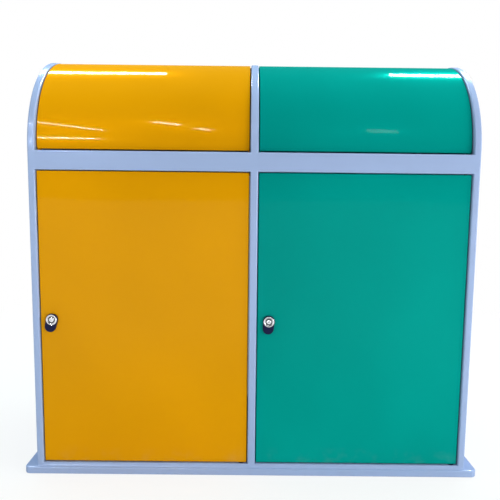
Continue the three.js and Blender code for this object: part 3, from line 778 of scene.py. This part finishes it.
def buildRing(side, at):
    node = f"lock_ring_{side}"
    low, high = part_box(node)
    radius = (high.x - low.x) / 2
    rim, rise, bore = bezel["rim"], bezel["rimRise"], handle["bore"]
    floor = high.y + bezel["floor"]
    lip = low.y + bezel["setBack"]
    profile = [(high.y, radius - bezel["backEdge"]), (low.y + rise, radius)]
    profile += [(low.y + rise - rise * math.sin(t), radius - rim + rim * math.cos(t))
                for t in (math.pi * step / 8 for step in range(1, 8))]
    profile += [(low.y + bezel["rimFall"], radius - 2 * rim), (floor, bezel["groove"] - bezel["grooveSlope"]),
                (floor, bore + bezel["wall"][0]), (lip, bore + bezel["wall"][1]), (lip, bore), (floor, bore)]
    place(f"lockRing.{side}", turned(profile, "y", at.xz, 64, closed=True), node)

    # the painted-shade ring: a dark rubber annulus between the plug and the groove's outer wall
    inner, outer = bore + shadeRing["inner"], bezel["groove"] - shadeRing["outer"]
    middle, half = (inner + outer) / 2, (outer - inner) / 2
    foot = high.y + shadeRing["foot"]
    turns = [math.pi * step / shadeRing["steps"] for step in range(shadeRing["steps"] + 1)]
    profile = [(foot, outer)]
    profile += [(low.y + shadeRing["behind"] - shadeRing["crown"] * math.sin(t), middle + half * math.cos(t)) for t in turns]
    profile += [(foot, inner)]
    place(f"dustSeal.{side}", turned(profile, "y", at.xz, closed=True), node, replaces=False, finish="rubber")


# Key plug: a domed face with a tilted keyway
plug = {
    "dome": ((0, 1.2 * mm), (0.2 * mm, 0.5 * mm), (0.6 * mm, 0)),  # behind the face, inside the radius
    "backEdge": 0.3 * mm,
    "edge": 0.1 * mm,
    "length": 5.6 * mm, "width": 1.9 * mm, "corner": 0.7 * mm, "depth": 2.5 * mm,  # of the keyway
    "lean": 20,
    "rise": 0.4 * mm,
}


def buildPlug(side, at):
    node = f"key_plug_{side}"
    low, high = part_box(node)
    radius = (high.x - low.x) / 2
    profile = [(low.y + behind, radius - inside) for behind, inside in plug["dome"]]
    profile += [(high.y - plug["backEdge"], radius), (high.y, radius - plug["backEdge"])]
    slot = rotated(roundedRing(plug["length"] / 2, plug["width"] / 2, plug["corner"], 4), plug["lean"])
    keyway = loft([[(at.x + a, y, at.z + plug["rise"] + b) for a, b in slot]
                   for y in (low.y - drilling["past"], low.y + plug["depth"])])
    place(f"keyPlug.{side}", turned(profile, "y", at.xz), node, cuts=[keyway], bevel=plug["edge"])


# Lock housing: a threaded barrel through the door, and the hexagon nut behind the sheet
housing = {
    "barrel": 9 * mm, "bore": 6 * mm, "pitch": 1.25 * mm, "crest": 0.05 * mm, "root": 0.6 * mm,
    "lead": 0.5 * mm, "frontEdge": 0.3 * mm, "backEdge": 0.8 * mm,
    "nutCorner": 14.43 * mm, "nutBack": 1.8 * mm, "nutHeight": 3.5 * mm, "nutEdge": 0.5 * mm,
}


def buildHousing(side, at, doorFace):
    node = f"lock_housing_{side}"
    low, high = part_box(node)
    barrel, pitch = housing["barrel"], housing["pitch"]
    profile = [(low.y, barrel - housing["frontEdge"])]
    for index in range(int((high.y - low.y - 2 * housing["lead"]) / pitch)):
        start = low.y + housing["lead"] + pitch * index
        profile += [(start, barrel - housing["crest"]), (start + pitch / 2, barrel - housing["root"])]
    profile += [(high.y, barrel - housing["backEdge"]), (high.y, housing["bore"]), (low.y, housing["bore"])]
    place(f"lockHousing.{side}", turned(profile, "y", at.xz, 40, closed=True), node)

    back = doorFace + housing["nutBack"]
    turns = [math.radians(60 * index + 30) for index in range(6)]
    corners = [(at.x + housing["nutCorner"] * math.cos(t), at.z + housing["nutCorner"] * math.sin(t)) for t in turns]
    end = back + housing["nutHeight"]
    nut = loft([[(x, y, z) for x, z in corners] for y in (back, end)])
    bore = drill("y", at.xz, barrel, back - drilling["past"], end + drilling["past"])
    place(f"lockNut.{side}", nut, node, replaces=False, cuts=[bore], bevel=housing["nutEdge"])


# Cam, and its screw: a washer below a cheese head; pairs are (behind the cam, radius) in mm
cam = {
    "edge": 0.35 * mm,
    "screw": ((-0.2, 7), (0.8, 7), (1, 6.8), (1, 4.6), (3, 4.4), (3.6, 3.2), (3.8, 1.5)),
}


def buildCam(side, at):
    node = f"lock_cam_{side}"
    refined(node, cam["edge"])
    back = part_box(node)[1].y
    profile = [(back + behind * mm, radius * mm) for behind, radius in cam["screw"]]
    place(f"camScrew.{side}", turned(profile, "y", at.xz, 40), node, replaces=False)


for side in sides:
    buildDoor(side)
    low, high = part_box(f"lock_ring_{side}")
    lockAt = (low + high) / 2
    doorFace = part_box(f"door_{side}")[0].y
    buildHandle(side, lockAt, doorFace)
    buildRing(side, lockAt)
    buildPlug(side, lockAt)
    buildHousing(side, lockAt, doorFace)
    buildCam(side, lockAt)
print("doors and locks built")


# Flaps: rolled sheet with rounded lower corners, on ribs and a rod under the ridge
flap = {
    "sheet": 1.5 * mm, "lip": 0.35 * mm, "corner": 5 * mm, "steps": 84,
    "foot": (0, 0.04, 0.12, 0.25, 0.42, 0.62),  # rows that round the lower corners, as shares of the corner
    "footEnd": 0.4 * mm,  # from the last of them to where the arc begins
    "ribEdge": 0.35 * mm, "rodEdge": 0.5 * mm,
}


def buildFlapSheet(side):
    node = f"flap_{side}"
    low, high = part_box(node)
    radius = -low.y
    centre = (0, high.z - radius)
    foot = [low.z + flap["corner"] * share for share in flap["foot"]]
    start = max(0, foot[-1] - centre[1] + flap["footEnd"])
    startDegrees = 180 - math.degrees(math.asin(start / radius))
    curves = []
    for reach in (radius, radius - flap["sheet"]):
        curves.append([(-reach, z) for z in foot] + list(arc(centre, reach, startDegrees, 90, flap["steps"])))
    sheet = rolledSheet(low.x, high.x, *curves, flap["sheet"], flap["lip"], flap["corner"])
    place(f"flap.{side}", sheet, node)


# Rubber buffers: pairs are (distance from the tip or from the foot, radius) in mm
buffer = {"tip": ((0, 3.4), (0.6, 4.8), (1.8, 5.6)), "foot": ((2, 6), (0.4, 6), (0, 5.6))}


def buildBuffer(end, side):
    node = f"flap_buffer_{end}_{side}"
    low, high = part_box(node)
    profile = [(high.y - behind * mm, radius * mm) for behind, radius in buffer["tip"]]
    profile += [(low.y + before * mm, radius * mm) for before, radius in buffer["foot"]]
    place(f"flapBuffer.{end}.{side}", turned(profile, "y", ((low + high) / 2).xz, 32), node)


# Torsion spring: close coils round the rod, with one end hooked to the ridge bar
spring = {"wire": 3.4 * mm, "coilGap": 0.12 * mm, "turnSteps": 28, "hookInset": 6 * mm, "start": -90}


def helix(x0, x1, centre, radius, turns, startDegrees):
    steps = int(turns * spring["turnSteps"])
    for step in range(steps + 1):
        share = step / steps
        angle = math.radians(startDegrees) + 2 * math.pi * turns * share
        yield x0 + (x1 - x0) * share, centre[0] + radius * math.cos(angle), centre[1] + radius * math.sin(angle)


def buildSpring(side, rodAt):
    node = f"flap_spring_{side}"
    low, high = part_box(node)
    wire = spring["wire"] / 2
    coil = (high.y - low.y) / 2 - wire
    x0, x1 = low.x + wire, high.x - wire
    turns = round((x1 - x0) / (spring["wire"] + spring["coilGap"]) * 4) / 4
    barLow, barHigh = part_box(f"ridge_bar_{side}")
    points = [(x0, barHigh.y - spring["hookInset"], barLow.z - wire)]
    points += list(helix(x0, x1, rodAt, coil, turns, spring["start"]))
    place(f"flapSpring.{side}", tubeAlong(points, wire, 12), node)


for side in sides:
    buildFlapSheet(side)
    for end in ("outer", "inner"):
        refined(f"flap_rib_{end}_{side}", flap["ribEdge"])
        buildBuffer(end, side)
    node = f"flap_rod_{side}"
    low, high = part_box(node)
    rodAt = ((low + high) / 2).yz
    rod = roundBar("x", rodAt, (high.y - low.y) / 2, low.x - seatGap, high.x + seatGap, flap["rodEdge"])
    place(f"flapRod.{side}", rod, node)
    buildSpring(side, rodAt)
print("flaps built")


# Liners: tapered galvanised buckets with rounded corners, pressed beads and a rolled rim
liner = {
    "sheet": 1.2 * mm,
    "corner": 14 * mm,
    "taper": 9 * mm,
    "rim": 8 * mm,
    "roll": 1.5 * mm,
    "rollTurn": (-120, 120),  # degrees, in steps of 40
    "cornerSteps": {"floor": -1 * mm, "mouth": -1 * mm, "rim": 5 * mm, "roll": 6 * mm},  # added to the corner
    "floorBend": 0.9 * mm,
    "rimBend": 0.4 * mm,
    "rimEnd": 1.4 * mm,
    "mouth": (1.2 * mm, 0.5 * mm, 0.7 * mm),  # start of the rim's top, and the bend down from it
    "beads": (0.18, 0.5, 0.82),  # shares of the height
    "beadDepth": 1.6 * mm,
    "beadHeight": 9 * mm,
    "beadCurve": ((-0.5, 0), (-0.3, 0.35), (-0.12, 0.9), (0.12, 0.9), (0.3, 0.35), (0.5, 0)),
    "upright": 3 * mm,  # plain wall below the rim and above the floor
}
ear = {"width": 30 * mm, "rise": 15 * mm, "corner": 7 * mm, "overlap": 14 * mm, "hole": 3.5 * mm, "edge": 0.3 * mm}


def buildLiner(side):
    node = f"liner_{side}"
    low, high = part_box(node)
    centre = (low + high) / 2
    half = Vector((high.x - low.x, high.y - low.y)) / 2 - Vector((liner["rim"], liner["rim"]))
    floor = low.z
    top = high.z - ear["rise"]
    sheet, corner, rim, roll, upright = (liner[key] for key in ("sheet", "corner", "rim", "roll", "upright"))

    def ring(z, out, radius):
        share = (z - floor) / (top - floor)
        inset = liner["taper"] * (1 - share) - out
        return [(centre.x + a, centre.y + b, z) for a, b in roundedRing(half.x - inset, half.y - inset, radius)]

    def wall(out):
        levels = [(floor + upright + out, 0)]
        for bead in liner["beads"]:
            z = floor + (top - floor) * bead
            levels += [(z + liner["beadHeight"] * share, -liner["beadDepth"] * dip)
                       for share, dip in liner["beadCurve"]]
        levels.append((top - upright, 0))
        return levels

    # outside: floor, wall, underside of the rim and its roll; then its top, and the inside down to the floor
    bend, under, grown = liner["floorBend"], liner["rimBend"], liner["cornerSteps"]
    start, fall, inwards = liner["mouth"]
    rings = [ring(floor, -upright, corner - upright), ring(floor + bend, -bend, corner + grown["floor"])]
    rings += [ring(z, out, corner) for z, out in wall(0)]
    rings += [ring(top - sheet - under, under, corner),
              ring(top - sheet, rim - liner["rimEnd"], corner + grown["rim"])]
    for out, up in arc((rim - roll, 0), roll, *liner["rollTurn"], 6):
        rings.append(ring(top - roll + up * 0.98, out, corner + grown["roll"]))  # kept a little below the top
    rings += [ring(top, start, corner), ring(top - fall, -inwards, corner + grown["mouth"])]
    rings += [ring(z, out - sheet, corner - sheet) for z, out in reversed(wall(sheet))]
    rings += [ring(floor + sheet, -upright - sheet, corner - upright - sheet)]
    place(f"liner.{side}", loft(rings), node)

    bailLow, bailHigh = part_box(f"bail_{side}")
    pivot = (centre.y, (bailLow.z + bailHigh.z) / 2)
    y0, y1 = centre.y - ear["width"] / 2, centre.y + ear["width"] / 2
    crown = high.z - ear["corner"]
    reach = sheet + drilling["past"]
    for way in (-1, 1):
        face = centre.x + way * half.x
        inner = face - way * sheet
        outline = [(y0, top - ear["overlap"]), (y1, top - ear["overlap"])]
        outline += list(arc((y1 - ear["corner"], crown), ear["corner"], 0, 90, 8))
        outline += list(arc((y0 + ear["corner"], crown), ear["corner"], 90, 180, 8))
        hole = drill("x", pivot, ear["hole"], face - reach, face + reach, 32)
        name = "outer" if (way < 0) == (side == "left") else "inner"
        place(f"linerEar.{name}.{side}", extrudeAcross(outline, min(face, inner), max(face, inner)), node,
              replaces=False, cuts=[hole], bevel=ear["edge"])


# Bails: bent wire, whose ends hook outwards through the ears
bail = {
    "bend": 22 * mm, "hook": 3.6 * mm, "hookReach": 10 * mm, "endEdge": 0.6 * mm, "bevel": 0.5 * mm,
    "straight": (60 * mm, 40 * mm),  # ends of the arm's middle part, from the bend and from the pivot
}


def buildBail(side):
    node = f"bail_{side}"
    low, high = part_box(node)
    radius = (high.z - low.z) / 2
    z = low.z + radius
    middle = (low.x + high.x) / 2
    linerLow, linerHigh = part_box(f"liner_{side}")
    pivotY = (linerLow.y + linerHigh.y) / 2
    reach = (high.x - low.x) / 2
    arm = reach - bail["hookReach"] - liner["sheet"]
    bend, hook = bail["bend"], bail["hook"]
    far = high.y - radius - bend
    half = list(arc((arm - bend, far), bend, 90, 0, 10))
    half += [(arm, far - bail["straight"][0]), (arm, pivotY + bail["straight"][1])]
    half += list(arc((arm + hook, pivotY + hook), hook, 180, 270, 8))
    half += [(reach - bail["endEdge"], pivotY), (reach, pivotY)]
    points = [(-x, y) for x, y in reversed(half)] + half
    wire = tubeAlong([(middle + x, y, z) for x, y in points], radius, 18)
    place(f"bail.{side}", wire, node, bevel=bail["bevel"])


for side in sides:
    buildLiner(side)
    buildBail(side)
print("liners and bails built")


# Studio: white surroundings and a pale floor, which gloss shows dimmer in front and near the bin
studio = {
    "floor": (0.93, 0.93, 0.93, 1),
    "floorHalf": 30,
    "floorGlow": (0.78, 1),  # share of the floor's look that is plain white, near the bin and far off
    "glowReach": (0.8, 2.0),
    "floorGlare": (0.35, 1),  # how bright gloss shows the floor, near the bin and two steps off
    "glareReach": (0.6, 1.6),
    "glare": (0.15, 0.35),  # how bright gloss shows the surroundings, in front and then above or behind
    "glareTurn": (-0.42, -0.08),  # where that changes, as the direction's part along y
    "roomLight": (0.3, 0.8),  # matt light from the left and from the right
}


def seenAsWhite(tree):
    # what the camera sees straight or through a clear piece, and what gloss shows
    path = addNode(tree, "ShaderNodeLightPath").outputs
    return calculate(tree, "MAXIMUM", path["Is Camera Ray"], path["Is Transmission Ray"]), path["Is Glossy Ray"]


def buildFloor():
    half = studio["floorHalf"]
    shape = bmesh.new()
    corners = ((-half, -half), (half, -half), (half, half), (-half, half))
    shape.faces.new([shape.verts.new((x, y, 0)) for x, y in corners])
    floor = objectFrom("studioFloor", shape)
    material = bpy.data.materials.new("studioFloor")
    material.use_nodes = True
    tree = material.node_tree
    tree.nodes.clear()
    matt = addNode(tree, "ShaderNodeBsdfDiffuse", inputs={"Color": studio["floor"]})
    seen, glossy = seenAsWhite(tree)
    distance = addNode(tree, "ShaderNodeVectorMath", {"operation": "LENGTH"}, {0: objectCoordinates(tree)})
    distance = distance.outputs["Value"]
    share = calculate(tree, "MULTIPLY", seen, remap(tree, distance, *studio["glowReach"], *studio["floorGlow"]))
    share = calculate(tree, "MAXIMUM", share, glossy)
    glare = remap(tree, distance, *studio["glareReach"], *studio["floorGlare"])
    glow = addNode(tree, "ShaderNodeEmission", inputs={
        "Color": (1, 1, 1, 1), "Strength": calculate(tree, "MAXIMUM", seen, glare),
    })
    mix = addNode(tree, "ShaderNodeMixShader", inputs={0: share, 1: matt.outputs[0], 2: glow.outputs[0]})
    addNode(tree, "ShaderNodeOutputMaterial", inputs={"Surface": mix.outputs[0]})
    floor.data.materials.append(material)


def buildWorld():
    world = bpy.data.worlds.new("studio")
    scene.world = world
    world.use_nodes = True
    tree = world.node_tree
    tree.nodes.clear()
    way = addNode(tree, "ShaderNodeTexCoord").outputs["Generated"]
    way = addNode(tree, "ShaderNodeSeparateXYZ", inputs={0: way}).outputs
    seen, glossy = seenAsWhite(tree)
    glare = remap(tree, way["Y"], *studio["glareTurn"], *studio["glare"])
    shown = calculate(tree, "MAXIMUM", seen, calculate(tree, "MULTIPLY", glossy, glare))
    matt = calculate(tree, "SUBTRACT", 1, calculate(tree, "MAXIMUM", glossy, shown))
    room = remap(tree, way["X"], -1, 1, *studio["roomLight"])
    strength = calculate(tree, "ADD", shown, calculate(tree, "MULTIPLY", matt, room))
    light = addNode(tree, "ShaderNodeBackground", inputs={"Color": (1, 1, 1, 1), "Strength": strength})
    addNode(tree, "ShaderNodeOutputWorld", inputs={"Surface": light.outputs[0]})


# Lamps: place, aim, the long side's direction, length and width in metres, watts, colour, and what they reach:
# matt surfaces, gloss, or both. Six light the bin; the strips and tubes are the ceiling lights that its gloss shows.
across = (1, 0, 0)
along = (0, 1, 0)
plain = (1, 1, 1)
lamps = {
    "overhead": ((0, 0.8, 3.3), (0, 0.8, 0), across, (4.6, 3.0), 93, (0.72, 1, 1), "matt"),
    "topRight": ((1.7, -0.5, 2.8), (0.5, -0.2, 0), along, (1.2, 1), 6, (0.85, 0.97, 1), "matt"),
    "frontLeft": ((-3.4, -4.4, 0.9), (0, 0, 0.45), across, (2.2, 1.6), 8, plain, "both"),
    "frontRight": ((4.2, -3.8, 1.0), (0, 0, 0.45), across, (2.4, 1.8), 95, plain, "both"),
    "topLeft": ((-1.7, -0.5, 2.8), (-0.5, -0.2, 0), along, (1.2, 1), 7, (0.8, 0.96, 1), "matt"),
    "sideRight": ((3.0, -0.9, 1.3), (0, -0.2, 0.5), along, (0.9, 1.6), 18, plain, "matt"),
    "stripLeft": ((-1.1, 0.93, 2.9), (-0.35, -0.13, 0.93), across, (1.15, 0.3), 75, plain, "gloss"),
    "stripRight": ((1.3, 1.08, 2.9), (0.4, -0.13, 0.93), across, (0.84, 0.38), 180, plain, "gloss"),
    "tubeFar": ((-1.51, -3.2, 2.37), (-0.43, -0.21, 0.8), (0.61, 0, -0.66), (0.9, 0.045), 12, plain, "gloss"),
    "tubeLow": ((-1.4, -3.2, 1.39), (-0.43, -0.21, 0.77), (0.49, 0, -0.07), (0.49, 0.045), 12, plain, "gloss"),
    "tubeMid": ((-0.71, -3.2, 2.72), (-0.2, -0.21, 0.8), (0.27, 0, -0.27), (0.32, 0.07), 9, plain, "gloss"),
    "tubeNear": ((-0.37, -3.2, 2.18), (-0.12, -0.21, 0.8), (0.17, 0, -0.17), (0.2, 0.05), 3.4, plain, "gloss"),
    "window": ((1.07, -3.2, 2.22), (0.28, -0.21, 0.8), across, (0.26, 0.3), 4, plain, "gloss"),
}


def buildLamp(name, at, aim, longSide, size, power, colour, reach):
    data = bpy.data.lights.new(name, "AREA")
    data.shape = "RECTANGLE"
    data.size, data.size_y = size
    data.energy = power
    data.color = colour
    lamp = bpy.data.objects.new(name, data)
    back = (Vector(at) - Vector(aim)).normalized()
    side = Vector(longSide)
    side = (side - back * side.dot(back)).normalized()
    turn = Matrix((side, back.cross(side), back)).transposed().to_4x4()
    lamp.matrix_world = Matrix.Translation(at) @ turn
    lamp.visible_camera = False
    lamp.visible_glossy = reach != "matt"
    lamp.visible_diffuse = reach != "gloss"
    scene.collection.objects.link(lamp)


# Camera: a phone at the middle of the bin's width, a step and a half away, turned in degrees
camera = {
    "at": (-0.0113, -1.4481, 0.6655),
    "yaw": -0.17,
    "pitch": -6.333,
    "roll": 0.626,
    "lens": 39.538,
    "sensor": 36,
}


def buildCamera():
    data = bpy.data.cameras.new("photoCamera")
    data.sensor_fit = "HORIZONTAL"
    data.sensor_width = camera["sensor"]
    data.lens = camera["lens"]
    data.clip_start = 0.05
    data.clip_end = 200
    item = bpy.data.objects.new("photoCamera", data)
    turn = Matrix.Rotation(math.radians(camera["yaw"]), 4, "Z")
    turn @= Matrix.Rotation(math.radians(90 + camera["pitch"]), 4, "X")
    turn @= Matrix.Rotation(math.radians(camera["roll"]), 4, "Z")
    item.matrix_world = Matrix.Translation(camera["at"]) @ turn
    scene.collection.objects.link(item)
    scene.camera = item


buildFloor()
buildWorld()
for name, settings in lamps.items():
    buildLamp(name, *settings)
buildCamera()
scene.view_settings.view_transform = "Standard"
print("studio, lamps and camera set")
